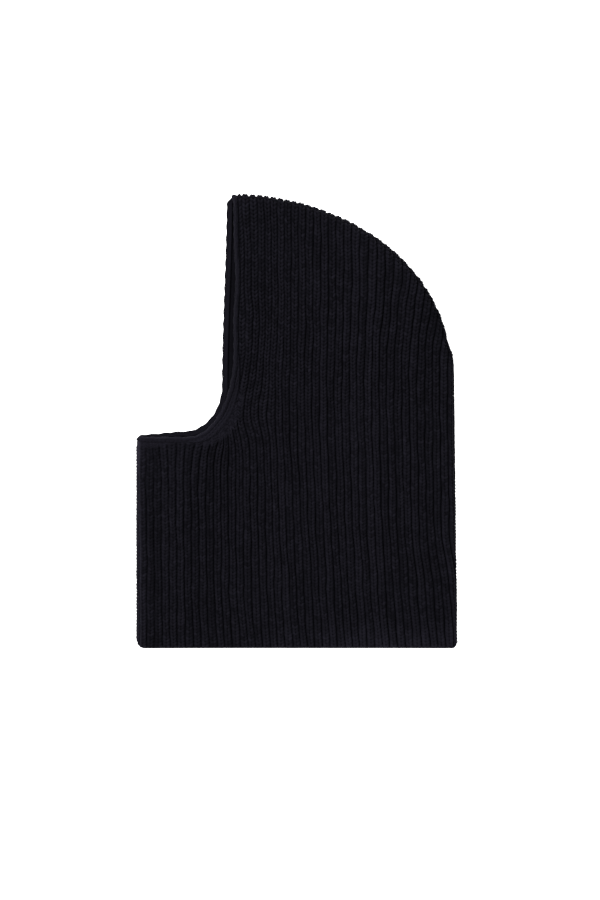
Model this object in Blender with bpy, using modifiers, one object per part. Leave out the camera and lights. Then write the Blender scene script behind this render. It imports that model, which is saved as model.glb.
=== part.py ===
"""Rib-knit balaclava, laid flat on its right side.

Metres, +Z up. The crown points to +Y, the neck opening faces -Y and the face opening faces -X, so the
wearer's left side is the upper layer. The origin lies under the middle, on the surface it rests on.
The garment is a flattened knit tube: one pouch shape, a shell of even thickness, is cut into the side
panels, the face band and the linking courses between them.
"""

import math

import bmesh
import bpy
from mathutils import Vector

NAME = "balaclava"

# The flattened tube
WIDTH = 0.265  # across the neck at the hem, front fold to back fold
HEIGHT = 0.3755  # hem to crown
LAYER = 0.0045  # one layer of heavy rib knit
CAVITY = 0.007  # space between the layers
GAP = 0.0003  # between pieces that touch
THICKNESS = 2 * LAYER + CAVITY
MIDDLE = THICKNESS / 2
FOLD_ROUND = 0.0076  # outer radius of the folds
FOLD_SEGMENTS = 4

# Its outline, seen from above
FRONT_FOLD = -WIDTH / 2
BACK_FOLD = WIDTH / 2
HEM = -HEIGHT / 2
CROWN_TOP = HEIGHT / 2
HEM_CORNER = 0.006
BACK_LEAN = 0.0032  # the back fold leans in by this much towards the crown seam
BACK_FOLD_TOP = 0.050
CROWN_CENTRE = Vector((-0.057, 0.047))
CROWN_REACH = 0.1832  # the crown is a quarter of an ellipse: this is its half width
CROWN_SEAM_END = 0.058
CROWN_POINTS = 30
BEYOND = 0.020  # the pouch runs past its cut edges by this much before it is cut
OVERSHOOT = 0.001  # rounded corners start this far outside the folds

# The face opening: chin edge, elliptical turn, then the edge beside the face. The lower layer shows past
# the upper one
CHIN_CORNER = 0.003
TURN_POINTS = 18
FACE_EDGES = {
    "left": {"chin": -0.0134, "turn_chin": -0.0132, "turn_x": -0.0900, "face_x": -0.0520,
             "turn_y": 0.0570, "top_x": -0.0523},
    "right": {"chin": -0.0109, "turn_chin": -0.0086, "turn_x": -0.0930, "face_x": -0.0616,
              "turn_y": 0.0300, "top_x": -0.0578},
}

# Band, linking courses, seam and label
BAND_CHIN = 0.0042  # the band's width under the chin
BAND_FACE = 0.0046  # and beside the face
BAND_BULGE = 0.0050  # it is this much wider where it turns
LINK = 0.0014
LINK_RECESS = 0.0006  # the linking course lies this much below the knit faces
SEAM_RADIUS = 0.0015
SEAM_CLEARANCE = 0.0006
SEAM_START_X = -0.046
SEAM_POINTS = 34
LABEL_LENGTH = 0.028
LABEL_WIDTH = 0.022
LABEL_SHEET = 0.0004
LABEL_FOLD = 0.0005
LABEL_SEWN_X = 0.121
LABEL_CENTRE_Y = 0.031
STITCH_RADIUS = 0.00025
STITCH_WIDTH = 0.002
STITCHES = 12

YARN = (0.0072, 0.0068, 0.0100)
YARN_DEEP = (0.0050, 0.0048, 0.0075)
LABEL_WHITE = (0.72, 0.72, 0.70)


def clear_scene():
    for obj in list(bpy.data.objects):
        bpy.data.objects.remove(obj)


def collection(name):
    found = bpy.data.collections.new(name)
    bpy.context.scene.collection.children.link(found)
    return found


def material(name, colour, roughness):
    made = bpy.data.materials.new(name)
    made.use_nodes = True
    shader = made.node_tree.nodes["Principled BSDF"]
    shader.inputs["Base Color"].default_value = (*colour, 1.0)
    shader.inputs["Roughness"].default_value = roughness
    shader.inputs["Metallic"].default_value = 0.0
    return made


def add_object(name, mesh, group, colour, roughness=0.95):
    obj = bpy.data.objects.new(name, mesh)
    group.objects.link(obj)
    if not mesh.materials:
        mesh.materials.append(None)
    obj.material_slots[0].link = "OBJECT"
    obj.material_slots[0].material = material(name, colour, roughness)
    return obj


def ellipse_point(centre, half_width, half_height, angle):
    return centre + Vector((half_width * math.cos(angle), half_height * math.sin(angle)))


def crown_arc(inset, first_y, last_x, count):
    """Points of the crown's arc, from its back end up and over to last_x, moved inwards by inset."""
    half_width = CROWN_REACH - inset
    half_height = CROWN_TOP - CROWN_CENTRE.y - inset
    first = math.asin((first_y - CROWN_CENTRE.y) / half_height)
    last = math.acos((last_x - CROWN_CENTRE.x) / half_width)
    step = (last - first) / (count - 1)
    return [ellipse_point(CROWN_CENTRE, half_width, half_height, first + step * i) for i in range(count)]


def pouch_outline(inset):
    """The flattened tube, past its cut edges on the hem and face sides, moved inwards by inset."""
    front = FRONT_FOLD + inset
    start = HEM - BEYOND + inset
    outline = [Vector((front, start)), Vector((BACK_FOLD - inset, start))]
    outline.append(Vector((BACK_FOLD - inset, HEM)))
    outline.append(Vector((BACK_FOLD - BACK_LEAN - inset, BACK_FOLD_TOP)))
    past_face = CROWN_CENTRE.x - BEYOND + inset
    outline += crown_arc(inset, CROWN_SEAM_END, past_face, CROWN_POINTS)
    outline.append(Vector((past_face, CROWN_CENTRE.y + BEYOND)))
    outline.append(Vector((front, BEYOND)))
    return outline


def band_width(turn):
    """The band's width: turn is 0 under the chin, 1 beside the face and in between round the corner."""
    return BAND_CHIN + (BAND_FACE - BAND_CHIN) * turn + BAND_BULGE * math.sin(math.pi * turn)


def face_edge(side, bands, extra):
    """The edge of the face opening from chin to crown, moved into the fabric by bands band widths and extra."""
    edge = FACE_EDGES[side]
    centre = Vector((edge["turn_x"], edge["turn_y"]))
    half_width = edge["face_x"] - edge["turn_x"]
    half_height = edge["turn_y"] - edge["turn_chin"]
    points = [Vector((FRONT_FOLD - BEYOND, edge["chin"] - bands * BAND_CHIN - extra))]
    for i in range(TURN_POINTS + 1):
        turn = i / TURN_POINTS
        offset = bands * band_width(turn) + extra
        angle = math.pi / 2 * (turn - 1)
        points.append(ellipse_point(centre, half_width + offset, half_height + offset, angle))
    points.append(Vector((edge["top_x"] + bands * BAND_FACE + extra, CROWN_TOP + BEYOND)))
    return points


def arc(centre, radius, first_degrees, last_degrees, count=7):
    step = math.radians(last_degrees - first_degrees) / (count - 1)
    first = math.radians(first_degrees)
    return [ellipse_point(centre, radius, radius, first + step * i) for i in range(count)]


def band_outline(side):
    """The face band: from the edge of the opening, rounded at the chin corner, into the fabric."""
    chin = FACE_EDGES[side]["chin"]
    centre = Vector((FRONT_FOLD + CHIN_CORNER - OVERSHOOT, chin - CHIN_CORNER))
    edge = [Vector((FRONT_FOLD - BEYOND, centre.y))] + arc(centre, CHIN_CORNER, 180, 90)
    edge += face_edge(side, 0, 0)[1:]
    return edge[::-1] + face_edge(side, 1, 0)


def linking_outline(side):
    """The linking course, a narrow strip behind the band."""
    return face_edge(side, 1, GAP)[::-1] + face_edge(side, 1, GAP + LINK)


def panel_outline(side):
    """Everything behind the linking course, down to the hem with its rounded corners."""
    outline = face_edge(side, 1, LINK + 2 * GAP)[::-1]
    corner_y = HEM + HEM_CORNER
    front_centre = Vector((FRONT_FOLD + HEM_CORNER - OVERSHOOT, corner_y))
    back_centre = Vector((BACK_FOLD - HEM_CORNER + OVERSHOOT, corner_y))
    outline.append(Vector((FRONT_FOLD - BEYOND, corner_y)))
    outline += arc(front_centre, HEM_CORNER, 180, 270)
    outline += arc(back_centre, HEM_CORNER, 270, 360)
    outline.append(Vector((BACK_FOLD + BEYOND, corner_y)))
    outline.append(Vector((BACK_FOLD + BEYOND, CROWN_TOP + BEYOND)))
    return outline


def prism_mesh(name, outline, bottom, top, round_rims=False):
    """A closed prism on a flat outline. With round_rims its two rims are marked for the Bevel modifier."""
    shape = bmesh.new()
    lower = shape.faces.new([shape.verts.new((p.x, p.y, bottom)) for p in outline])
    lower.normal_update()
    if lower.normal.z > 0:
        lower.normal_flip()
    made = bmesh.ops.extrude_face_region(shape, geom=[lower], use_keep_orig=True)
    raised = [item for item in made["geom"] if isinstance(item, bmesh.types.BMVert)]
    bmesh.ops.translate(shape, verts=raised, vec=(0, 0, top - bottom))
    bmesh.ops.recalc_face_normals(shape, faces=shape.faces)
    if round_rims:
        weight = shape.edges.layers.float.new("bevel_weight_edge")
        for edge in shape.edges:
            edge[weight] = float(abs(edge.verts[0].co.z - edge.verts[1].co.z) < GAP)
    mesh = bpy.data.meshes.new(name)
    shape.to_mesh(mesh)
    shape.free()
    mesh.shade_smooth()
    mesh.set_sharp_from_angle(angle=math.radians(40))
    return mesh


def add_bevel(obj, radius):
    bevel = obj.modifiers.new("fold_round", "BEVEL")
    bevel.limit_method = "WEIGHT"
    bevel.width = radius
    bevel.segments = FOLD_SEGMENTS


def add_cut(obj, cutter, operation):
    cut = obj.modifiers.new(cutter.name, "BOOLEAN")
    cut.operation = operation
    cut.solver = "EXACT"
    cut.object = cutter


def add_cutter(name, mesh, group):
    obj = bpy.data.objects.new(name, mesh)
    group.objects.link(obj)
    obj.hide_render = True
    obj.display_type = "WIRE"
    return obj


def make_cavity(cutters):
    mesh = prism_mesh("cavity", pouch_outline(LAYER), LAYER, LAYER + CAVITY, round_rims=True)
    cavity = add_cutter("cavity", mesh, cutters)
    add_bevel(cavity, FOLD_ROUND - LAYER)
    return cavity


def side_heights(side, recess):
    """Bottom and top of the half of the pouch that belongs to one side."""
    if side == "left":
        return MIDDLE + GAP / 2, THICKNESS - recess
    return recess, MIDDLE - GAP / 2


def make_layer_piece(name, side, outline, pouch, cavity, parts, cutters, recess=-BEYOND, colour=YARN):
    """One piece of the knit: the pouch, hollowed, and kept only inside its own outline and half."""
    bottom, top = side_heights(side, recess)
    region = add_cutter(name + "_region", prism_mesh(name + "_region", outline, bottom, top), cutters)
    piece = add_object(name, pouch, parts, colour)
    add_bevel(piece, FOLD_ROUND)
    add_cut(piece, cavity, "DIFFERENCE")
    add_cut(piece, region, "INTERSECT")


def make_side(side, pouch, cavity, parts, cutters):
    make_layer_piece(side + "_side_panel", side, panel_outline(side), pouch, cavity, parts, cutters)
    make_layer_piece(side + "_face_band", side, band_outline(side), pouch, cavity, parts, cutters)
    make_layer_piece(side + "_band_linking", side, linking_outline(side), pouch, cavity, parts, cutters,
                     recess=LINK_RECESS, colour=YARN_DEEP)


def make_crown_seam(parts):
    """The linked seam allowance, a cord of yarn that follows the crown inside the pouch."""
    curve = bpy.data.curves.new("crown_seam", "CURVE")
    curve.dimensions = "3D"
    curve.bevel_depth = SEAM_RADIUS
    curve.bevel_resolution = 2
    curve.use_fill_caps = True
    inset = LAYER + SEAM_CLEARANCE + SEAM_RADIUS
    points = crown_arc(inset, CROWN_SEAM_END, SEAM_START_X, SEAM_POINTS)
    spline = curve.splines.new("POLY")
    spline.points.add(len(points) - 1)
    for target, point in zip(spline.points, points):
        target.co = (point.x, point.y, MIDDLE, 1.0)
    curve.materials.append(material("crown_seam", YARN_DEEP, 0.95))
    seam = bpy.data.objects.new("crown_seam", curve)
    parts.objects.link(seam)


def make_care_label(parts):
    """A blank woven label, folded once, with its two ends sewn in beside the lower end of the crown seam."""
    level = LAYER + GAP + LABEL_SHEET / 2
    tip = LABEL_SEWN_X - LABEL_LENGTH + LABEL_FOLD
    profile = [(LABEL_SEWN_X, level)]
    for i in range(9):
        angle = -math.pi / 2 - math.pi * i / 8
        profile.append((tip + LABEL_FOLD * math.cos(angle), level + LABEL_FOLD * (1 + math.sin(angle))))
    profile.append((LABEL_SEWN_X, level + 2 * LABEL_FOLD))
    shape = bmesh.new()
    rows = []
    for y in (LABEL_CENTRE_Y - LABEL_WIDTH / 2, LABEL_CENTRE_Y + LABEL_WIDTH / 2):
        rows.append([shape.verts.new((x, y, z)) for x, z in profile])
    for i in range(len(profile) - 1):
        shape.faces.new((rows[0][i], rows[0][i + 1], rows[1][i + 1], rows[1][i]))
    mesh = bpy.data.meshes.new("care_label")
    shape.to_mesh(mesh)
    shape.free()
    label = add_object("care_label", mesh, parts, LABEL_WHITE, 0.8)
    sheet = label.modifiers.new("sheet", "SOLIDIFY")
    sheet.thickness = LABEL_SHEET
    sheet.offset = 0.0


def make_label_stitch(parts):
    """The thread that sews the label's two ends down, a zigzag across its sewn edge."""
    height = LAYER + GAP + LABEL_SHEET + 2 * LABEL_FOLD + GAP + STITCH_RADIUS
    middle_x = LABEL_SEWN_X - STITCH_WIDTH
    curve = bpy.data.curves.new("label_stitch", "CURVE")
    curve.dimensions = "3D"
    curve.bevel_depth = STITCH_RADIUS
    curve.bevel_resolution = 2
    curve.use_fill_caps = True
    spline = curve.splines.new("POLY")
    spline.points.add(STITCHES - 1)
    for i, point in enumerate(spline.points):
        x = middle_x + STITCH_WIDTH / 2 * (-1) ** i
        y = LABEL_CENTRE_Y + LABEL_WIDTH * ((i + 0.5) / STITCHES - 0.5)
        point.co = (x, y, height, 1.0)
    curve.materials.append(material("label_stitch", LABEL_WHITE, 0.8))
    stitch = bpy.data.objects.new("label_stitch", curve)
    parts.objects.link(stitch)


def main():
    clear_scene()
    parts = collection(NAME)
    cutters = collection("cutters")
    pouch = prism_mesh("pouch", pouch_outline(0.0), 0.0, THICKNESS, round_rims=True)
    cavity = make_cavity(cutters)
    for side in FACE_EDGES:
        make_side(side, pouch, cavity, parts, cutters)
    make_crown_seam(parts)
    make_care_label(parts)
    make_label_stitch(parts)


main()
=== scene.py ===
"""The looks of the rib-knit balaclava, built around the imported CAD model.

The garment is a flattened tube of knit. Every soft piece is worked out on the flat fabric, in "cloth
coordinates" x and y, and then wrapped round the folds: inside the outline the cloth lies flat, and
within a fold's radius of it the cloth turns down to the middle plane, where the lower layer takes over.
Lengths are in metres.
"""

import math

import bmesh
import bpy
import numpy as np
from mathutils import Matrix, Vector


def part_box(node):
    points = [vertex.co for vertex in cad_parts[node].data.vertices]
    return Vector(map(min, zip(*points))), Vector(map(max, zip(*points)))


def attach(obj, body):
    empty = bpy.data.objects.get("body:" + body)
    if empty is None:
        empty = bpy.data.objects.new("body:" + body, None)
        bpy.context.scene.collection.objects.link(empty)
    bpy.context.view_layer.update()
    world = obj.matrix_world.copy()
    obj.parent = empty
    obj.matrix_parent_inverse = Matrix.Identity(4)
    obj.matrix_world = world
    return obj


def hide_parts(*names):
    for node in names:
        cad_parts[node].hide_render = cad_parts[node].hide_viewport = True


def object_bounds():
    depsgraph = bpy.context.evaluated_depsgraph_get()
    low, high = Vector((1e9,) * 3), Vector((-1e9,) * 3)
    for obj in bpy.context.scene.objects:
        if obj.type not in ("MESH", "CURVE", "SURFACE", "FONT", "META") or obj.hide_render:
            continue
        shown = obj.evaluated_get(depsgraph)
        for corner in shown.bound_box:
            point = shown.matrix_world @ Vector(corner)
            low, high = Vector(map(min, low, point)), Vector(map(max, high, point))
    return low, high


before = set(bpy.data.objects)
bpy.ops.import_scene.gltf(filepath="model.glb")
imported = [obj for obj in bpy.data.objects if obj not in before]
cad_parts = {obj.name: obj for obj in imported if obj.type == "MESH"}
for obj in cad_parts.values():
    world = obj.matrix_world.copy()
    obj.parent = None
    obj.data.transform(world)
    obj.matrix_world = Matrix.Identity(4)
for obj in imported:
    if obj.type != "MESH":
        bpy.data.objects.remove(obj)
CAD_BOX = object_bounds()

MM = 0.001

# How far the rib tops and loops stand proud of the CAD model's smooth outline
PROUD_FRONT, PROUD_HEM, PROUD_BACK, PROUD_CROWN = 0.45 * MM, 0.5 * MM, 1.5 * MM, 0.8 * MM
FRONT, HEM, FLOOR = CAD_BOX[0] - Vector((PROUD_FRONT, PROUD_HEM, 0))
BACK, TOP, CEILING = CAD_BOX[1] + Vector((PROUD_BACK, PROUD_CROWN, 0))
MIDDLE = (FLOOR + CEILING) / 2
REACH = CEILING - MIDDLE  # the outer radius of the folds

# Outline of the laid garment, seen from above
BACK_LEAN = 3.2 * MM  # how far the back fold leans in from the hem to the crown
CROWN_X, CROWN_Y = -57 * MM, 47 * MM  # the middle of the crown's arc
CROWN_REACH = 183.2 * MM + PROUD_CROWN  # from there to where the arc would meet the back
CROWN_BLEND = 11 * MM  # the height over which the back fold runs into the arc
CORNER = 6 * MM  # the corner between the chin and the front fold
HEM_CORNERS = 9.5 * MM, 7 * MM  # at the front and back folds

# The edge of the face opening in each layer. fold, chin and turn_chin are its heights at the front fold,
# under the chin and where it turns up. turn_x and turn_y say where the turn starts and ends, and face_x,
# top_x and crown_x where the edge runs beside the face, near the top and at the crown seam. bow is the
# size of a slight wave beside the face, and band_face the width of the face band there.
EDGES = {
    "near": dict(fold=-12.2 * MM, chin=-13.4 * MM, turn_chin=-13.2 * MM, turn_x=-90 * MM, face_x=-52.0 * MM,
                 turn_y=57 * MM, top_x=-52.3 * MM, crown_x=-53.5 * MM, bow=0.6 * MM, band_face=4.0 * MM),
    "far": dict(fold=-12.2 * MM, chin=-10.9 * MM, turn_chin=-8.6 * MM, turn_x=-93 * MM, face_x=-61.75 * MM,
                turn_y=30 * MM, top_x=-57.8 * MM, crown_x=-53.5 * MM, bow=0.0, band_face=5.2 * MM),
}
CROWN_JOG = 9 * MM  # the height over which the opening's edge moves back to meet the crown
BAND_CHIN = 3.8 * MM  # the face band's width along the chin
BAND_BULGE = 5.0 * MM  # how much wider the band is in the middle of the turn
PLAIN_TURN = 6.5 * MM  # plain knit between the band and the ribs, at its widest round the turn
PLAIN_FOLD = 3.6 * MM  # the same at the front fold
LINK = 0.9 * MM  # the gap between the band and the body that the linking chain covers

# The folds: cloth coordinates run past the outline by as much as the cloth turns down
CLOTH_RADIUS = 6.5 * MM
MAX_TURN = math.radians(88.5)
PAST = CLOTH_RADIUS * MAX_TURN - REACH

# Knit
RIB = 6.176 * MM
FIRST_GROOVE = 2.55 * MM  # from the front fold
COURSE_LOW, COURSE_HIGH = 2.72 * MM, 3.29 * MM  # the height of a stitch in the neck and beside the face
SLANT = 0.62  # how many courses a strand of a V falls from the middle of its rib to the groove
HOLE = 0.19  # the width of the hole in a V, as a share of half a rib
RIB_DEPTH = 2.6 * MM
MID_LAYER = 5.75 * MM  # distance of a layer's middle from the middle plane
INNER_FACE = 3.6 * MM
SUNK_FACE = 4.6 * MM  # the inner face where it sinks behind the band
SAG = 2.4 * MM  # how far the upper layer settles between the folds
FINE, MEDIUM, COARSE = 0.52 * MM, 0.9 * MM, 1.5 * MM  # mesh spacings
SEED = 7
NOISE_RIBS, NOISE_ROWS = 128, 256  # past so many ribs or rows the noise repeats
RNG = np.random.default_rng(SEED)
STITCH_NOISE = RNG.normal(0.0, 1.0, (NOISE_RIBS, NOISE_ROWS))
RIB_NOISE = RNG.normal(0.0, 1.0, NOISE_RIBS)


def smooth(t):
    t = np.clip(t, 0.0, 1.0)
    return t * t * (3 - 2 * t)


def lerp(a, b, t):
    return a + (b - a) * t


def bump(x, centre, width):
    return np.exp(-(((x - centre) / width) ** 2))


def path_length(x, y):
    """The length along a line up to each of its points."""
    return np.concatenate([[0], np.cumsum(np.hypot(np.diff(x), np.diff(y)))])


def rib_noise(number):
    return RIB_NOISE[number % NOISE_RIBS]


def strands(turns):
    """Rounded strands side by side, one to a turn: 1 on top of each, 0 between them."""
    return np.abs(np.sin(math.pi * turns)) ** 0.7


# ---------------------------------------------------------------- outline and folds


def back_fold(y):
    return BACK - BACK_LEAN * np.clip((y - HEM) / (CROWN_Y - HEM), 0, 1)


def edge_distance(x, y):
    """Distance inside the nearest fold or crown edge, and the x and y of the outward direction there."""
    blend = smooth((y - CROWN_Y - CROWN_BLEND / 2) / CROWN_BLEND)
    reach = lerp(back_fold(y) - CROWN_X, CROWN_REACH, blend)
    rise = TOP - CROWN_Y
    ex = np.maximum(x - CROWN_X, 0) / reach
    ey = np.maximum(y - CROWN_Y, 0) / rise
    g = np.maximum(np.hypot(ex, ey), 1e-6)
    gx, gy = ex / (reach * g), ey / (rise * g)
    slope = np.maximum(np.hypot(gx, gy), 1e-3)
    behind = (1 - g) / slope
    ahead = x - FRONT
    front = ahead < behind
    nx = np.where(front, -1.0, gx / slope)
    ny = np.where(front, 0.0, gy / slope)
    return np.where(front, ahead, behind), nx, ny


def relaxed(x, y, inside):
    """How far the upper layer has settled below its height at the folds, in slow waves."""
    wave = 0.5 * np.sin(x * 31 + y * 17) + 0.3 * np.sin(x * 53 - y * 41 + 1.3)
    wave = wave + 0.2 * np.sin(y * 87 + x * 23)
    settled = smooth((inside - REACH) / (50 * MM))
    return settled * (SAG + 0.45 * MM * wave)


def wrap(layer, x, y, rho):
    """Cloth coordinates to space. rho is the distance from the middle plane, or from the fold's axis."""
    inside, nx, ny = edge_distance(x, y)
    over = np.maximum(REACH - inside, 0)
    turn = np.minimum(over / CLOTH_RADIUS, math.pi / 2)
    back = over - rho * np.sin(turn)
    up = rho * np.cos(turn)
    if layer == "near":
        z = MIDDLE + up - relaxed(x, y, inside)
    else:
        z = MIDDLE - up
    return np.stack([x - nx * back, y - ny * back, z], -1)


def hem_line(x):
    """The hem, rounded up at both folds. Each corner's arc stops short of upright."""
    rise = 0
    for size, from_fold in zip(HEM_CORNERS, (x - (FRONT - PAST), back_fold(HEM) + PAST - x)):
        t = np.clip(1 - from_fold / size, 0, 0.92)
        rise = rise + size * (1 - np.sqrt(1 - t * t))
    return HEM + rise


# ---------------------------------------------------------------- face opening


def chin_and_turn(count):
    """How many of a face line's points lie along the chin, and how many round the turn."""
    return count // 4, count // 3


def face_line(layer, bands, extra, count=400):
    """Cloth coordinates along the face opening, from the front fold under the chin, round the turn and up
    to the crown. The line is moved into the fabric by bands, in widths of the band, and by extra."""
    edge = EDGES[layer]
    start, end = FRONT - PAST, TOP + PAST
    chin_n, turn_n = chin_and_turn(count)
    s = np.linspace(0, 1, chin_n, endpoint=False)
    x0 = lerp(start, edge["turn_x"], s)
    y0 = lerp(edge["fold"], edge["chin"], smooth(s * 3))
    y0 = y0 + (edge["turn_chin"] - edge["chin"]) * smooth(s * 1.4 - 0.4)
    drop = 1 - np.clip((x0 - start) / CORNER, 0, 1)
    corner_fall = CORNER * 0.75 * (1 - np.sqrt(1 - 0.98 * drop**2))
    y0 = y0 - bands * BAND_CHIN - extra - (1 - bands) * corner_fall
    t = np.linspace(0, 1, turn_n, endpoint=False)
    offset = bands * (lerp(BAND_CHIN, edge["band_face"], t) + BAND_BULGE * np.sin(math.pi * t)) + extra
    angle = (t - 1) * math.pi / 2
    x1 = edge["turn_x"] + (edge["face_x"] - edge["turn_x"] + offset) * np.cos(angle)
    y1 = edge["turn_y"] + (edge["turn_y"] - edge["turn_chin"] + offset) * np.sin(angle)
    u = np.linspace(0, 1, count - chin_n - turn_n)
    y2 = lerp(edge["turn_y"], end, u)
    ripple = np.sin(math.pi * u) + 1.8 * bump(y2, 118 * MM, 18 * MM) - bump(y2, 83 * MM, 12 * MM)
    x2 = lerp(edge["face_x"], edge["top_x"], smooth(u))
    x2 = x2 + bands * edge["band_face"] + extra + edge["bow"] * ripple
    x2 = x2 + (edge["crown_x"] - edge["top_x"]) * smooth((y2 - (TOP - CROWN_JOG)) / CROWN_JOG)
    return np.concatenate([x0, x1, x2]), np.concatenate([y0, y1, y2])


def spaced(x, y, count):
    """count + 1 points evenly spaced along a line."""
    length = path_length(x, y)
    at = np.linspace(0, length[-1], count + 1)
    return np.interp(at, length, x), np.interp(at, length, y)


# ---------------------------------------------------------------- knit pattern


def rib_shift(x, y):
    """How far the ribs lean from straight lines. Places in it are metres from the middle of the base."""
    # The waist at the back of the head, which draws the ribs forward
    waist = -4.8 * MM * smooth((x + 0.045) / 0.040) * smooth((y + 0.150 + 0.030 * smooth(x / 0.06)) / 0.135)
    waist = waist * (1 - 0.38 * smooth((y - 0.030) / 0.080) - 0.16 * smooth((x - 0.080) / 0.035))
    swing = 1.6 * MM * bump(y, -0.052, 0.040) + 0.9 * MM * bump(y, -0.125, 0.036)
    waist = waist + smooth((x + 0.040) / 0.020) * swing
    # The flare at the hem, strongest at the back
    flare = 0.7 * MM * smooth((-0.050 - y) / 0.080)
    flare = flare + 3.4 * MM * smooth((x + 0.125) / 0.085) * np.clip((-0.140 - y) / 0.047, 0, 1.4) ** 1.2
    flare = flare + 4.2 * MM * smooth((x - 0.075) / 0.055) * smooth((-0.095 - y) / 0.045)
    # The crown, where the ribs lean back again
    crown = 6.3 * MM * smooth((x - 0.035) / 0.075) * smooth((y - 0.055) / 0.070)
    forehead = smooth((y - 0.045) / 0.050) * smooth((0.195 - y) / 0.050)
    crown = crown + 2.4 * MM * bump(x, -0.044, 0.022) * forehead
    # Single groups of ribs that stray by a millimetre or so
    stray = 1.6 * bump(x, -0.040, 0.012) * bump(y, 0.060, 0.016)
    stray = stray + 1.0 * bump(x, -0.022, 0.010) * bump(y, 0.085, 0.020)
    stray = stray - 1.5 * bump(x, -0.042, 0.012) * smooth((y - 0.085) / 0.025)
    stray = stray - 0.8 * bump(x, 0.012, 0.022) * smooth((y - 0.072) / 0.020)
    stray = stray - 0.8 * bump(x, 0.002, 0.018) * bump(y, -0.105, 0.045)
    stray = stray - 0.7 * smooth((x - 0.085) / 0.025) * smooth(-y / 0.030)
    stray = stray - 1.5 * bump(x, 0.094, 0.012) * bump(y, 0.100, 0.012)
    # The band pulls the ribs forward beside the turn, and those under the chin fan out towards it
    pull = -6.2 * MM * bump(x, -0.041, 0.0176) * bump(y, 0.004, np.where(y > 0.004, 0.026, 0.016))
    fan = 4.2 * MM * (smooth((x + 0.100) / 0.018) - smooth((x + 0.064) / 0.010))
    fan = fan - 1.8 * MM * bump(x, -0.113, 0.008)
    below = np.maximum(-0.017 - y, 0)
    fan = fan * np.exp(-((below / 0.012) ** 1.3)) * smooth((0.012 - y) / 0.02)
    return waist + flare + crown + stray * MM + pull + fan


def wales(x, y):
    """The rib count across the cloth, whole at the grooves. Every rib also wanders a little."""
    wander = np.sin(y * 61 + x * 290) + np.sin(y * 139 + x * 173 + 2.0) + 0.6 * np.sin(y * 260 + x * 611)
    return (x - FRONT - FIRST_GROOVE - rib_shift(x, y) - 0.22 * MM * wander) / RIB


def layer_wales(layer, x, y):
    """The rib count of a layer. The lower layer carries on where the upper one ends at each fold, less a
    whole number of ribs at the back."""
    count = wales(x, y)
    if layer == "near":
        return count
    front = wales(np.full_like(y, FRONT - PAST), y)
    back = wales(back_fold(y) + PAST, y)
    back = back - np.round(back[0] - front[0])
    return count - 2 * lerp(front, back, smooth((x - FRONT) / (BACK - FRONT)))


def courses(x, y):
    """The course count up the cloth, in rows that wave a little. The stitches are taller above the neck,
    but less so at the back of the head."""
    heights = np.linspace(HEM - 0.02, TOP + 0.02, 200)
    pitch = lerp(COURSE_LOW, COURSE_HIGH, smooth((heights + 0.02) / 0.09))
    count = np.concatenate([[0], np.cumsum(np.diff(heights) / pitch[:-1])])
    ripple = 0.35 * np.sin(x * 38 + 0.4) + 0.2 * np.sin(x * 97 + y * 9)
    relaxing = 26 * np.maximum(y, 0) * smooth((x + 0.03) / 0.06)
    return np.interp(y, heights, count) + ripple + relaxing


def knit(layer, x, y):
    """Height of the knit above its grooves, the wale count, and a tone for the wool's colour. The tone is
    painted shade and highlight that follow the height: darker in the grooves and V holes and paler on the
    rib tops, with uneven tone at random on top. Every rib is a chain of V stitches: two slanted strands to
    a course, with a small hole where the V opens."""
    wale, course = layer_wales(layer, x, y), courses(x, y)
    rib = np.floor(wale).astype(int)
    across = 2 * (wale - rib) - 1
    off = np.abs(across)
    stitch = course + 0.2 * rib_noise(rib) - SLANT * off
    row = np.floor(stitch).astype(int)
    side = np.where(across > 0, 61, 0)
    uneven = STITCH_NOISE[(rib + side) % NOISE_RIBS, row % NOISE_ROWS]
    strand = strands(stitch - row)
    middle = np.exp(-((off / HOLE) ** 2))
    # The walls of the ribs: full nearly out to the groove, then steep
    groove = np.round(wale).astype(int)
    reach = 0.94 + 0.012 * rib_noise(groove + 7)
    reach = reach + 0.03 * np.sin(y * 95 + groove * 2.1) * np.sin(y * 41 + groove)
    wall = np.clip(1 - (off / reach) ** 4, 0, 1) ** 0.55
    wall = lerp(wall, 1.0, groove_fill(groove, x, y))
    # The stitches on them
    ridge = RIB_DEPTH + MM * np.minimum(0.10 * rib_noise(rib + 31) + 0.10 * uneven * strand, 0.15)
    relief = MM * (1.35 * taut(x, y) * (1 - strand) * (1 + 0.7 * middle) + 0.75 * middle)
    column = 2 * rib + (across > 0)
    tone = 0.05 * np.sin(y * 39 + column * 2.9) + 0.07 * rib_noise(column) + 0.12 * uneven
    # The plain knit that the ribs run out to beside the face band
    loop = course + 0.3 - SLANT * off + 0.25 * uneven
    plain = 0.74 * RIB_DEPTH - 0.95 * MM * (1 - strands(loop)) - 0.30 * MM * middle
    formed = rib_fade(layer, x, y)
    height = lerp(plain, wall * (ridge - relief), formed)
    # The tone: painted shade and highlight from the height, darker down in the grooves and V holes and
    # paler on the rib tops; the uneven tone at random; and the plain knit made paler by 0.45.
    return height, wale, height / RIB_DEPTH + tone + 0.45 * (1 - formed)


def taut(x, y):
    """How open the stitches are pulled: 1 beside the face, less in the relaxed neck and at the back."""
    return lerp(0.56, lerp(1.0, 0.70, smooth((x + 0.05) / 0.08)), smooth((y + 0.02) / 0.05))


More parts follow.
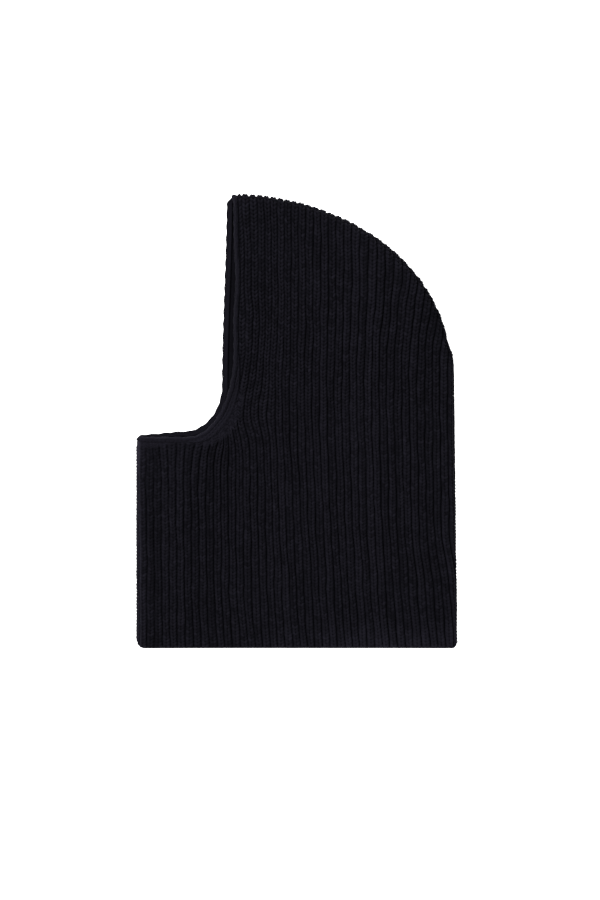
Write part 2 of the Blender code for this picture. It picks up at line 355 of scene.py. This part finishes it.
def groove_fill(groove, x, y):
    """How far a groove between two ribs is closed up: unevenly along it, more beside the face, round the
    front fold under the chin, and fully at the hem."""
    fill = 0.02 + 0.07 * rib_noise(groove + 71) + 0.10 * np.sin(y * 47 + groove * 1.7)
    fill = fill + 0.18 * smooth((y + 0.01) / 0.04) * (1 - smooth((x + 0.03) / 0.08))
    fill = fill + 0.75 * bump(x, FRONT + 2 * MM, 5 * MM) * smooth((y + 0.052) / 0.022)
    fill = np.maximum(fill, smooth(1 - (y - hem_line(x)) / (2.2 * MM)))
    return np.clip(fill, 0, 1)


def rib_fade(layer, x, y):
    """How far the ribs have formed. They run out to plain knit just under the face band at the chin and
    more widely round the turn, and stand full beside the face."""
    fade = np.ones_like(x)
    beside = (x < -25 * MM) & (y > -45 * MM) & (y < 40 * MM)
    count = 300
    line_x, line_y = face_line(layer, 1, LINK, count)
    chin_n, turn_n = chin_and_turn(count)
    round_turn = (np.arange(count) - chin_n) / turn_n
    kept = line_y < 45 * MM
    gap = np.hypot(x[beside, None] - line_x[None, kept], y[beside, None] - line_y[None, kept])
    turn = np.clip(round_turn[kept][gap.argmin(1)], 0, 1)
    plain = PLAIN_TURN * np.clip(np.sin(math.pi * np.clip(turn * 1.25 - 0.1, 0, 1)), 0, 1)
    plain = plain + PLAIN_FOLD * smooth((-98 * MM - x[beside]) / (22 * MM))
    formed = smooth((gap.min(1) - plain + 0.8 * MM) / (2.8 * MM))
    fade[beside] = lerp(0.1 + 0.9 * formed, 1.0, smooth((y[beside] - 18 * MM) / (20 * MM)))
    return fade


# ---------------------------------------------------------------- meshes


def mesh_object(name, points, quads, triangles=(), tone=None):
    """A mesh object from arrays, with its faces made to point outwards. tone is for the wool to read."""
    quads = np.asarray(quads, np.int32).reshape(-1, 4)
    triangles = np.asarray(triangles, np.int32).reshape(-1, 3)
    mesh = bpy.data.meshes.new(name)
    mesh.vertices.add(len(points))
    mesh.vertices.foreach_set("co", np.asarray(points, np.float32).ravel())
    corners = np.concatenate([quads.ravel(), triangles.ravel()])
    sizes = np.concatenate([np.full(len(quads), 4), np.full(len(triangles), 3)]).astype(np.int32)
    mesh.loops.add(len(corners))
    mesh.loops.foreach_set("vertex_index", corners)
    mesh.polygons.add(len(sizes))
    mesh.polygons.foreach_set("loop_start", np.concatenate([[0], np.cumsum(sizes)[:-1]]).astype(np.int32))
    mesh.polygons.foreach_set("loop_total", sizes)
    if tone is not None:
        attribute = mesh.attributes.new("tone", "FLOAT", "POINT")
        attribute.data.foreach_set("value", np.asarray(tone, np.float32))
    mesh.update(calc_edges=True)
    mesh.validate()
    shape = bmesh.new()
    shape.from_mesh(mesh)
    bmesh.ops.recalc_face_normals(shape, faces=shape.faces)
    shape.to_mesh(mesh)
    shape.free()
    mesh.shade_smooth()
    obj = bpy.data.objects.new(name, mesh)
    bpy.context.scene.collection.objects.link(obj)
    return obj


def grid_quads(index):
    """The quads of a grid of vertex numbers."""
    return np.stack([index[:-1, :-1], index[1:, :-1], index[1:, 1:], index[:-1, 1:]], -1).reshape(-1, 4)


def stitch_rows(first, second):
    """Triangles between two rows of vertices that run side by side, whatever their counts."""
    triangles, i, j = [], 0, 0
    last_i, last_j = len(first) - 1, len(second) - 1
    while i < last_i or j < last_j:
        if j == last_j or (i < last_i and (i + 1) * last_j <= (j + 1) * last_i):
            triangles.append((first[i], first[i + 1], second[j]))
            i += 1
        else:
            triangles.append((first[i], second[j + 1], second[j]))
            j += 1
    return triangles


def crown_height(x):
    """Where the cloth of each column meets the crown's middle plane, by halving the interval."""
    low, high = np.full_like(x, CROWN_Y), np.full_like(x, TOP + 4 * PAST)
    for _ in range(40):
        half = (low + high) / 2
        inside = edge_distance(x, half)[0] > -PAST
        low, high = np.where(inside, half, low), np.where(inside, high, half)
    return low


def row_steps(count):
    """Row positions from 0 to 1, closer together in the first dozen rows from the hem."""
    steps = lerp(0.35, 1.0, smooth(np.arange(count) / 12))
    return np.concatenate([[0], np.cumsum(steps)]) / steps.sum()


def cloth_grid(layer, spacing):
    """A layer of the body in cloth coordinates: one block under the chin, one behind the face, which meet
    where the face line is furthest back. Returns x, y, the quads and the vertices along each edge."""
    line_x, line_y = face_line(layer, 1, LINK)
    turn = int(np.argmax(np.where(line_y < 60 * MM, line_x, -1)))
    turn_x, turn_y = line_x[turn], line_y[turn]
    across_a = int((turn_x - FRONT + PAST) / spacing)
    across_b = int((BACK + PAST - turn_x) / spacing)
    rows_a = int((turn_y - HEM) / spacing)
    rows_b = int((TOP - turn_y) / spacing)
    # Under the chin, from the hem up to the face line
    v = row_steps(rows_a)
    top_x, top_y = spaced(line_x[: turn + 1], line_y[: turn + 1], across_a)
    bottom_x = np.linspace(FRONT - PAST, turn_x, across_a + 1)
    xa = lerp(bottom_x[:, None], top_x[:, None], v[None, :])
    ya = lerp(hem_line(bottom_x)[:, None], top_y[:, None], v[None, :])
    # Behind the face: the neck, up to where the blocks part, and the head above it
    u = np.linspace(0, 1, across_b + 1)[:, None]
    hem_x = lerp(turn_x, back_fold(HEM) + PAST, u)
    y1 = lerp(hem_line(hem_x), turn_y, v[None, :])
    x1 = lerp(turn_x, back_fold(y1) + PAST, u)
    w = np.linspace(0, 1, rows_b + 1)[None, 1:]
    side_x, side_y = line_x[turn:], line_y[turn:]
    foot_x = lerp(turn_x, back_fold(turn_y) + PAST, u)
    head_x = lerp(side_x[-1], back_fold(CROWN_Y) + PAST, u)
    head_y = crown_height(head_x)
    y2 = lerp(turn_y, head_y, w)
    x2 = lerp(foot_x, head_x, w)
    x2 = x2 + (np.interp(y2, side_y, side_x) - lerp(turn_x, head_x[0, 0], w)) * (1 - u) ** 3
    xb, yb = np.concatenate([x1, x2], 1), np.concatenate([y1, y2], 1)
    # The vertices of both blocks in one row, with the column they share only once
    ia = np.arange(xa.size).reshape(xa.shape)
    ib = np.empty(xb.shape, int)
    ib[1:] = np.arange(xb[1:].size).reshape(xb[1:].shape) + xa.size
    first = xa.size + xb[1:].size
    ib[0, : rows_a + 1] = ia[-1]
    ib[0, rows_a + 1 :] = np.arange(rows_b) + first
    x = np.concatenate([xa.ravel(), xb[1:].ravel(), xb[0, rows_a + 1 :]])
    y = np.concatenate([ya.ravel(), yb[1:].ravel(), yb[0, rows_a + 1 :]])
    edges = {
        "hem": np.concatenate([ia[:, 0], ib[1:, 0]]),
        "front": ia[0],
        "crown": np.concatenate([ib[-1], ib[-2::-1, -1]]),
        "face": np.concatenate([ia[:, -1], ib[0, rows_a + 1 :]]),
    }
    return x, y, np.concatenate([grid_quads(ia), grid_quads(ib)]), edges


def edge_fade(x, y):
    """0.3 at the hem and 1 a little way in: the layer's thickness closes to a rounded edge there."""
    t = np.clip((y - hem_line(x)) / (2.4 * MM), 0, 1)
    return np.maximum(np.sqrt(1 - (1 - t) ** 2), 0.3)


def crown_scallops(layer, x, y, wale):
    """Where the cloth meets the crown seam: how far it stands out, and a painted shade and highlight for
    its tone. The upper layer's ribs swell into one scallop each, dimpled by the linking stitches, and the
    lower layer stays a little inside them. The tone is darker in the dimples and paler on the loops at the
    seam."""
    inside = edge_distance(x, y)[0]
    near_seam = smooth(1 - (inside + PAST) / (9 * MM)) * smooth((y - CROWN_Y) / (8 * MM))
    if layer == "far":
        return -0.8 * MM * near_seam, 0.0
    across = 2 * (wale - np.floor(wale)) - 1
    swell = 1.1 * MM * (1 - across**2) - 0.40 * MM
    stitches = np.abs(np.sin(2 * math.pi * wale)) ** 1.5
    dimples = stitches * bump(inside, 2.2 * MM, 1.2 * MM)
    loops = (1 - stitches) * bump(inside, 0.2 * MM, 1.2 * MM)
    # Painted shade in the dimples and painted highlight on the loops at the seam.
    return near_seam * (swell - 1.0 * MM * dimples), near_seam * (0.6 * loops - 1.2 * dimples)


def body_surface(layer, face, spacing):
    """One face of one layer: points, quads, edges and the tone."""
    x, y, quads, edges = cloth_grid(layer, spacing)
    height, wale, tone = knit(layer, x, y)
    fade = edge_fade(x, y)
    if face == "outer":
        swell, seam_shading = crown_scallops(layer, x, y, wale)
        rho = REACH - RIB_DEPTH + height + swell
        tone = tone + seam_shading
    else:
        rho = INNER_FACE + 0.45 * MM * (1 + np.cos(2 * math.pi * wale))
        rho = lerp(rho, SUNK_FACE, sunk_edge(layer, x, y))
        tone = np.full_like(rho, 0.4)
    rho = MID_LAYER + (rho - MID_LAYER) * fade
    # Painted highlight along the front fold and at the back of the hem is added to the tone.
    return wrap(layer, x, y, rho), quads, edges, tone + painted_edge_highlight(x, y)


def painted_edge_highlight(x, y):
    """Painted highlight: how much paler the wool is made along the front fold and at the back of the hem,
    to stand in for light there.
    """
    highlight_line = FRONT + lerp(3.6 * MM, 1.8 * MM, smooth((y + 0.12) / 0.09))
    upper = smooth((y + 0.055) / 0.030)
    fold = lerp(0.8, 1.5, upper) * bump(x, highlight_line, lerp(1.4 * MM, 2.2 * MM, upper))
    hem = 0.45 * smooth(1 - (y - HEM) / 0.028) * smooth((x + 0.06) / 0.15)
    return fold + hem


def sunk_edge(layer, x, y):
    """1 where the cloth behind the band lies deepest, beside the face, and 0 a few millimetres in."""
    line_x, line_y = face_line(layer, 1, LINK)
    side = line_y > EDGES[layer]["turn_y"]
    behind = x - np.interp(y, line_y[side], line_x[side])
    return smooth(1 - behind / (5 * MM)) * smooth((y - EDGES[layer]["turn_y"]) / (20 * MM))


def make_body():
    """The knit body, one closed mesh: outer and inner faces of both layers, joined along every edge."""
    plan = {
        ("near", "outer"): FINE,
        ("far", "outer"): MEDIUM,
        ("near", "inner"): COARSE,
        ("far", "inner"): COARSE,
    }
    points, quads, triangles, tones, edges, start = [], [], [], [], {}, 0
    for (layer, face), spacing in plan.items():
        where, faces, borders, tone = body_surface(layer, face, spacing)
        points.append(where)
        quads.append(faces + start)
        tones.append(tone)
        edges[layer, face] = {key: row + start for key, row in borders.items()}
        start += len(where)
    for face in ("outer", "inner"):
        for key in ("front", "crown"):
            triangles += stitch_rows(edges["near", face][key], edges["far", face][key])
    for layer in ("near", "far"):
        for key in ("hem", "face"):
            triangles += stitch_rows(edges[layer, "outer"][key], edges[layer, "inner"][key])
    ring = (("near", "outer"), ("far", "outer"), ("far", "inner"), ("near", "inner"))
    for key, end in (("hem", 0), ("hem", -1), ("face", 0), ("face", -1)):
        quads.append(np.array([[edges[sheet][key][end] for sheet in ring]]))
    points, quads, tones = (np.concatenate(rows) for rows in (points, quads, tones))
    return mesh_object("knit_body", points, quads, triangles, tones)


def ring_piece(name, profile, spacing=0.6 * MM):
    """A closed ring that follows the face opening through both layers. profile(layer, along, width) gives
    a cross-section at each point along: distances from the band's edge and from the middle plane, and the
    tone. The ring keeps a little inside the knit where it goes round the crown."""
    loops, tones = [], []
    tuck = 0.4 * MM
    for layer, order in (("near", 1), ("far", -1)):
        ex, ey = face_line(layer, 0, 0, 2400)
        ix, iy = face_line(layer, 1, 0, 2400)
        length = path_length(ex, ey)
        inside = edge_distance(ex, ey)[0] >= -PAST
        last = np.nonzero(inside)[0][-1]
        count = int(length[last] / spacing)
        at = np.linspace(0, length[last], count)
        ex, ey, ix, iy = (np.interp(at, length, values) for values in (ex, ey, ix, iy))
        width = np.hypot(ix - ex, iy - ey)
        dist, rho, tone = profile(layer, at, width)
        x = ex[:, None] + (ix - ex)[:, None] * dist / width[:, None]
        y = ey[:, None] + (iy - ey)[:, None] * dist / width[:, None]
        rho = rho - tuck * smooth(1 - edge_distance(x, y)[0] / REACH) * (y > 0)
        loops.append(wrap(layer, x, y, rho)[::order][::-1])
        tones.append(tone[::order][::-1])
    points = np.concatenate(loops)
    rows, cols = points.shape[:2]
    index = np.arange(rows * cols).reshape(rows, cols)
    index = np.concatenate([index, index[:1]], 0)
    index = np.concatenate([index, index[:, :1]], 1)
    return mesh_object(name, points.reshape(-1, 3), grid_quads(index), (), np.concatenate(tones).ravel())


def band_knit(along, around):
    """Relief of the band's own plain knit, from 0 on the yarn to 1 in the gaps. around is the distance
    round the roll from its crest."""
    row = along / (3.1 * MM)
    wale = around / (2.7 * MM) + 0.25 + 0.2 * np.sin(row * 0.61)
    slant = 0.6 * np.abs(2 * (wale % 1) - 1)
    strand = strands(row - slant + 0.3 * np.sin(row * 0.37))
    return (1 - strand) * 0.6 + 0.4 * np.abs(np.cos(math.pi * (wale - 0.5))) ** 6


def band_profile(layer, along, width):
    """Cross-section of the face band: a rolled edge, a shallow groove behind it and, where the band is
    wide, a plain knitted strip down to the linking. Its tone is painted highlight on the crest and painted
    shade in the gaps and in the hollow behind it."""
    run = along[:, None]
    waves = np.sin(run * 310 + 1) + 0.7 * np.sin(run * 730) + 0.5 * np.sin(run * 1530 + 2)
    beside_face = smooth((run - 50 * MM) / (60 * MM))
    roll = lerp(1.5 * MM, 2.0 * MM, smooth((run - 35 * MM) / (55 * MM))) + 0.12 * MM * waves
    tall, level = 2.05 * MM, 1.30 * MM  # the roll and the strip above the layer's middle
    stitch = 0.55 * MM
    # Painted highlight on the roll's crest, brightest on the upper layer along the chin and fainter on the
    # lower layer.
    crest_highlight = lerp(1.5, 1.18, beside_face) if layer == "near" else 0.85
    # The upper side, from the linking to the crest of the roll
    dist = roll + (width[:, None] - roll) * np.linspace(1, 0, 30)[None, :]
    behind = dist - roll
    crest = np.clip(behind / roll, 0, 1)
    on_top = stitch * band_knit(run, roll * np.arcsin(crest))
    round_top = tall * np.sqrt(1 - crest**2) - on_top
    gaps = band_knit(run, dist)
    groove = lerp(0.1 * MM, 0.9 * MM, beside_face) * bump(behind, roll, 0.6 * MM)
    strip = level - 0.9 * MM * gaps - groove
    # Painted shade: the roll darkens away from its crest and in the gaps of its knit, and the strip in its
    # gaps; painted highlight makes the strip paler along the chin.
    roll_shading = crest_highlight - 0.3 * crest - 0.35 * on_top / stitch
    strip_shading = lerp(1.3, 1.05, beside_face) - 0.5 * gaps
    tone = np.where(round_top > strip, roll_shading, strip_shading)
    # The nose, round the rolled edge
    a = np.linspace(math.pi / 2, -math.pi / 2, 13)[None, 1:-1]
    nose_gaps = band_knit(run, roll * (a - math.pi / 2))
    lean = 0.25 * MM * np.sin(run * 620) * np.cos(a)
    dent = (0.45 if layer == "near" else 0.20) * MM
    nose_dist = roll - (roll - dent * nose_gaps) * np.cos(a) + lean
    nose = (tall - stitch * nose_gaps) * np.sin(a)
    # Painted shade round the nose: darker where it faces sideways and in the gaps of its knit, below the
    # crest's painted highlight.
    nose_shading = crest_highlight - 0.5 * (1 - np.abs(np.sin(a))) - 0.4 * nose_gaps
    # The side that faces the hollow
    back_dist = dist[:, ::-1][:, ::3]
    back = -1.75 * MM - 0.25 * MM * np.abs(np.sin(math.pi * back_dist / (2.6 * MM)))
    # Painted shade: the back stays pale for a little over 4 mm from the edge, then darkens into the hollow
    # between the layers.
    back_shading = lerp(1.0, 0.3, smooth((back_dist - 4.2 * MM) / (0.9 * MM)))
    full_dist = np.concatenate([dist, nose_dist, back_dist], 1)
    lift = np.concatenate([np.maximum(round_top, strip), nose, back], 1)
    return full_dist, MID_LAYER + lift, np.concatenate([tone, nose_shading, back_shading], 1)


def linking_profile(layer, along, width):
    """The linking chain between band and body: a narrow upright cord with a bead for every stitch. Beside
    the face it sinks between them. Its tone is painted highlight and shade: paler on top of the cord,
    darker underneath and darker where it sinks."""
    a = np.linspace(0, 2 * math.pi, 12, endpoint=False)[None, :]
    bead = 0.72 + 0.28 * np.abs(np.sin(math.pi * along / (2.9 * MM)))[:, None]
    sunk = (smooth((along - 80 * MM) / (50 * MM)) * smooth((along[-1] - along) / (12 * MM)))[:, None]
    level, tall = (-0.7 * MM, 1.3 * MM) if layer == "near" else (-0.3 * MM, 1.0 * MM)
    dist = width[:, None] + LINK / 2 + 0.78 * MM * np.cos(a) * bead
    lift = lerp(-0.25 * MM, level, sunk) + lerp(1.60 * MM, tall, sunk) * np.sin(a) * bead
    # Painted shade and highlight: darker where the cord sinks, paler on its upper side, darker underneath.
    return dist, MID_LAYER + lift, 0.60 - 0.3 * sunk + 0.25 * np.sin(a) * bead


def crown_path(inset, first_y, last_x, count):
    """The crown's arc, moved in by inset, from its lower end up and over towards the face."""
    reach, rise = CROWN_REACH - inset, TOP - CROWN_Y - inset
    first = math.asin((first_y - CROWN_Y) / rise)
    last = math.acos((last_x - CROWN_X) / reach)
    angle = np.linspace(first, last, count)
    return CROWN_X + reach * np.cos(angle), CROWN_Y + rise * np.sin(angle)


def tube(centre, radius, around=8):
    """Points and quads of a closed round yarn along a path that runs more or less level."""
    direction = np.gradient(centre, axis=0)
    side = np.cross(direction, (0.0, 0.0, 1.0))
    up = np.cross(side, direction)
    side /= np.linalg.norm(side, axis=1)[:, None]
    up /= np.linalg.norm(up, axis=1)[:, None]
    a = np.linspace(0, 2 * math.pi, around, endpoint=False)[None, :, None]
    points = centre[:, None] + (side[:, None] * np.cos(a) + up[:, None] * np.sin(a)) * radius[:, None, None]
    index = np.arange(len(centre) * around).reshape(len(centre), around)
    quads = [grid_quads(np.concatenate([index, index[:, :1]], 1))]
    for end in (index[0], index[-1]):
        quads += [np.array([[end[0], end[k], end[k + 1], end[k + 2]]]) for k in range(1, around - 2, 2)]
    return points.reshape(-1, 3), np.concatenate(quads)


def make_crown_seam():
    """The linked seam allowance inside the crown: three yarns plaited round each other."""
    low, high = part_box("crown_seam")
    middle = (low.z + high.z) / 2
    radius = (high.z - low.z) / 2
    inset = TOP - high.y + radius
    plait, taper = 6 * MM, 1.5 * MM
    x, y = crown_path(inset, low.y + 0.8 * radius, low.x, 420)
    length = path_length(x, y)
    path = np.stack([x, y, np.full(len(x), middle)], -1)
    side = np.cross(np.gradient(path, axis=0), (0.0, 0.0, 1.0))
    side /= np.linalg.norm(side, axis=1)[:, None]
    points, quads, start = [], [], 0
    for strand in range(3):
        swing = 2 * math.pi * (length / plait + strand / 3)
        centre = path + side * (0.55 * radius * np.sin(swing))[:, None]
        centre[:, 2] += 0.42 * radius * np.sin(2 * swing)
        ends = np.minimum(length, length[-1] - length) / taper
        where, faces = tube(centre, 0.52 * radius * np.clip(ends + 0.3, 0, 1))
        points.append(where)
        quads.append(faces + start)
        start += len(where)
    return mesh_object("crown_seam_yarn", np.concatenate(points), np.concatenate(quads))


def make_label():
    """The care label: a blank woven tape folded once, its upper half lifting a little off the lower."""
    low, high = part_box("care_label")
    thick = 0.4 * MM
    bend = (high.z - low.z - thick) / 2
    level, tip = low.z + thick / 2 + bend, low.x + thick / 2 + bend
    run = np.linspace(0, 1, 30)
    angle = np.linspace(-math.pi / 2, -1.5 * math.pi, 12)[1:-1]  # round the fold
    lift = 1.1 * MM * np.sin(math.pi * run) ** 2
    x = np.concatenate([lerp(high.x, tip, run), tip + bend * np.cos(angle), lerp(tip, high.x, run)])
    z = np.concatenate([level - bend + 0 * run, level + bend * np.sin(angle), level + bend + lift])
    normal = np.stack([-np.gradient(z), np.gradient(x)], -1)
    normal /= np.linalg.norm(normal, axis=1)[:, None]
    across = np.linspace(0, 1, 24)
    curl = 0.25 * MM * np.cos(2 * math.pi * across)[None, :] * (z > level)[:, None]
    faces = []
    for side in (1, -1):
        px = np.broadcast_to((x + side * normal[:, 0] * thick / 2)[:, None], curl.shape)
        pz = (z + side * normal[:, 1] * thick / 2)[:, None] + curl
        faces.append(np.stack([px, np.broadcast_to(lerp(low.y, high.y, across), curl.shape), pz], -1))
    rows, cols = curl.shape
    index = np.arange(2 * rows * cols).reshape(2, rows, cols)
    rim = np.concatenate([index[:, 0], index[:, 1:, -1], index[:, -1, -2::-1], index[:, -2:0:-1, 0]], 1)
    rim = np.concatenate([rim, rim[:, :1]], 1)
    quads = np.concatenate([grid_quads(index[0]), grid_quads(index[1]), grid_quads(rim)])
    return mesh_object("care_label_tape", np.concatenate(faces).reshape(-1, 3), quads)


def make_label_thread():
    """The zigzag that sews the label's ends down."""
    low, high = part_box("label_stitch")
    radius = (high.z - low.z) / 2
    turns, dip = 11, 0.35 * MM
    run = np.linspace(0, 1, 130)
    swing = math.pi * turns * run
    centre = np.stack([
        (low.x + high.x) / 2 + ((high.x - low.x) / 2 - radius) * np.cos(swing),
        lerp(low.y + radius, high.y - radius, run),
        high.z - radius - dip * np.cos(swing) ** 8,
    ], -1)
    points, quads = tube(centre, np.full(len(run), radius))
    return mesh_object("label_thread", points, quads)


def cut_area():
    """The area of the knit body's fabric laid out flat, from the cloth coordinates of both layers."""
    area = 0.0
    for layer in EDGES:
        x, y, quads, _ = cloth_grid(layer, COARSE)
        x, y = x[quads], y[quads]
        area += np.abs(np.sum(x * np.roll(y, -1, 1) - np.roll(x, -1, 1) * y, 1)).sum() / 2
    return area


# ---------------------------------------------------------------- materials


def shader_nodes(name):
    made = bpy.data.materials.new(name)
    made.use_nodes = True
    nodes, links = made.node_tree.nodes, made.node_tree.links
    return made, nodes, links, nodes["Principled BSDF"]


def add_noise(nodes, links, place, scale, detail):
    """A noise texture in the object's own coordinates."""
    noise = nodes.new("ShaderNodeTexNoise")
    noise.inputs["Scale"].default_value = scale
    noise.inputs["Detail"].default_value = detail
    links.new(place.outputs["Object"], noise.inputs["Vector"])
    return noise


def add_ramp(nodes, links, source, stops):
    """A colour ramp over a texture, from two stops of a position and a colour."""
    ramp = nodes.new("ShaderNodeValToRGB")
    for element, (position, colour) in zip(ramp.color_ramp.elements, stops):
        element.position = position
        element.color = (*colour, 1)
    links.new(source.outputs["Fac"], ramp.inputs["Fac"])
    return ramp


def add_bump(nodes, links, shader, source, strength, distance):
    """A fine relief on the shader's normal."""
    relief = nodes.new("ShaderNodeBump")
    relief.inputs["Strength"].default_value = strength
    relief.inputs["Distance"].default_value = distance
    links.new(source.outputs["Fac"], relief.inputs["Height"])
    links.new(relief.outputs["Normal"], shader.inputs["Normal"])


def wool(name, dark, light, tip):
    """Matt wool yarn: uneven dye; painted highlight and shade from the tone attribute, mixing towards a
    paler colour on the rib tops, roll crests and edges; painted shade in the low spots of the fibre bump;
    fibres and ply in the bump; a faint sheen.
    """
    made, nodes, links, shader = shader_nodes(name)
    place = nodes.new("ShaderNodeTexCoord")
    tone = nodes.new("ShaderNodeAttribute")
    tone.attribute_name = "tone"
    patches = add_noise(nodes, links, place, scale=45, detail=4)
    fibres = add_noise(nodes, links, place, scale=1500, detail=3)
    dye = add_ramp(nodes, links, patches, ((0.3, dark), (0.7, light)))
    # The tone mixes in the tip colour: painted highlight where it is high, painted shade where it is low.
    tops = nodes.new("ShaderNodeMapRange")
    tops.inputs["From Min"].default_value = 0.5
    tops.inputs["From Max"].default_value = 2.0
    links.new(tone.outputs["Fac"], tops.inputs["Value"])
    blend = nodes.new("ShaderNodeMix")
    blend.data_type = "RGBA"
    blend.inputs["B"].default_value = (*tip, 1)
    links.new(tops.outputs["Result"], blend.inputs["Factor"])
    links.new(dye.outputs["Color"], blend.inputs["A"])
    # Painted shade: the fine fibre noise that drives the bump also darkens its low spots.
    fibre_shade = nodes.new("ShaderNodeMix")
    fibre_shade.data_type = "RGBA"
    fibre_shade.blend_type = "MULTIPLY"
    fibre_shade.inputs["Factor"].default_value = 0.55
    links.new(blend.outputs["Result"], fibre_shade.inputs["A"])
    shaded, full = (0.35, 0.35, 0.35), (1, 1, 1)
    shades = add_ramp(nodes, links, fibres, ((0.35, shaded), (0.65, full)))
    links.new(shades.outputs["Color"], fibre_shade.inputs["B"])
    links.new(fibre_shade.outputs["Result"], shader.inputs["Base Color"])
    add_bump(nodes, links, shader, fibres, strength=0.6, distance=0.25 * MM)
    rough = nodes.new("ShaderNodeMapRange")
    rough.inputs["To Min"].default_value = 0.82
    rough.inputs["To Max"].default_value = 1.0
    links.new(patches.outputs["Fac"], rough.inputs["Value"])
    links.new(rough.outputs["Result"], shader.inputs["Roughness"])
    shader.inputs["Specular IOR Level"].default_value = 0.02
    shader.inputs["Sheen Weight"].default_value = 0.02
    shader.inputs["Sheen Roughness"].default_value = 0.45
    shader.inputs["Sheen Tint"].default_value = (0.75, 0.75, 1.0, 1)
    return made


def tape(name, colour):
    """Woven label tape: a fine satin weave, a little darker between its threads."""
    made, nodes, links, shader = shader_nodes(name)
    place = nodes.new("ShaderNodeTexCoord")
    weave = nodes.new("ShaderNodeTexWave")
    weave.inputs["Scale"].default_value = 900
    weave.inputs["Distortion"].default_value = 0.6
    links.new(place.outputs["Object"], weave.inputs["Vector"])
    between = [c * 0.82 for c in colour]
    tone = add_ramp(nodes, links, weave, ((0, between), (1, colour)))
    links.new(tone.outputs["Color"], shader.inputs["Base Color"])
    add_bump(nodes, links, shader, weave, strength=0.4, distance=0.1 * MM)
    shader.inputs["Roughness"].default_value = 0.55
    return made


# ---------------------------------------------------------------- floor, light, camera


def make_stage():
    """A large pale sheet that gives off a little light of its own, just under the garment."""
    bpy.ops.mesh.primitive_plane_add(size=6.0, location=(0, 0, FLOOR - 0.3 * MM))
    floor = bpy.context.object
    floor.name = "floor"
    made, _, _, shader = shader_nodes("floor_paper")
    shader.inputs["Base Color"].default_value = (0.80, 0.80, 0.80, 1)
    shader.inputs["Emission Color"].default_value = (1, 1, 1, 1)
    shader.inputs["Emission Strength"].default_value = 0.75
    shader.inputs["Roughness"].default_value = 0.9
    shader.inputs["Specular IOR Level"].default_value = 0.1
    floor.data.materials.append(made)


def area_light(name, place, size, energy):
    """A square light that faces the garment."""
    light = bpy.data.lights.new(name, "AREA")
    light.energy = energy
    light.size = size
    obj = bpy.data.objects.new(name, light)
    bpy.context.scene.collection.objects.link(obj)
    obj.location = place
    obj.rotation_euler = (-Vector(place)).to_track_quat("-Z", "Y").to_euler()


def make_light():
    """A white surround, a soft key from the upper left and a weak fill from the lower right."""
    world = bpy.data.worlds.new("studio")
    bpy.context.scene.world = world
    world.use_nodes = True
    world.node_tree.nodes["Background"].inputs["Color"].default_value = (1, 1, 1, 1)
    world.node_tree.nodes["Background"].inputs["Strength"].default_value = 1.0
    area_light("key", place=(-1.05, 0.75, 1.3), size=0.7, energy=84)
    area_light("fill", place=(1.1, -1.2, 1.2), size=1.4, energy=35)


def make_camera():
    """Straight down, with the garment a little above and left of the middle of the picture."""
    data = bpy.data.cameras.new("camera")
    camera = bpy.data.objects.new("camera", data)
    bpy.context.scene.collection.objects.link(camera)
    distance, view_height = 3.0, 0.746
    aim_x, aim_y = 3.1 * MM, -24.2 * MM
    data.angle = 2 * math.atan(view_height / 2 / distance)
    data.clip_end = 20
    camera.location = (aim_x, aim_y, MIDDLE + distance)
    bpy.context.scene.camera = camera


# ---------------------------------------------------------------- assembly

# The paler colour mixed in by the tone: painted highlight on rib tops, roll crests and edges.
painted_highlight_colour = (0.0072, 0.0066, 0.0102)
wool_rib = wool("wool_rib", dark=(0.0009, 0.0008, 0.0014), light=(0.0016, 0.0015, 0.0024), tip=painted_highlight_colour)
wool_band = wool("wool_band", dark=(0.0010, 0.0009, 0.0015), light=(0.0018, 0.0017, 0.0027), tip=painted_highlight_colour)
label_tape = tape("label_tape", (0.72, 0.72, 0.70))
label_thread = tape("label_thread", (0.60, 0.60, 0.58))

body = make_body()
body.data.materials.append(wool_rib)
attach(body, "root")
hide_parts("left_side_panel", "right_side_panel")

band = ring_piece("face_band", band_profile)
band.data.materials.append(wool_band)
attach(band, "root")
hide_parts("left_face_band", "right_face_band")

linking = ring_piece("band_linking", linking_profile)
linking.data.materials.append(wool_rib)
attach(linking, "root")
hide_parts("left_band_linking", "right_band_linking")

seam = make_crown_seam()
seam.data.materials.append(wool_rib)
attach(seam, "root")
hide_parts("crown_seam")

label = make_label()
label.data.materials.append(label_tape)
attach(label, "root")
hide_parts("care_label")

thread = make_label_thread()
thread.data.materials.append(label_thread)
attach(thread, "root")
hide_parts("label_stitch")

# The tube cut open along one fold: once round it, and from the hem to the crown
cut_area()

make_stage()
make_light()
make_camera()
bpy.context.scene.view_settings.view_transform = "Standard"
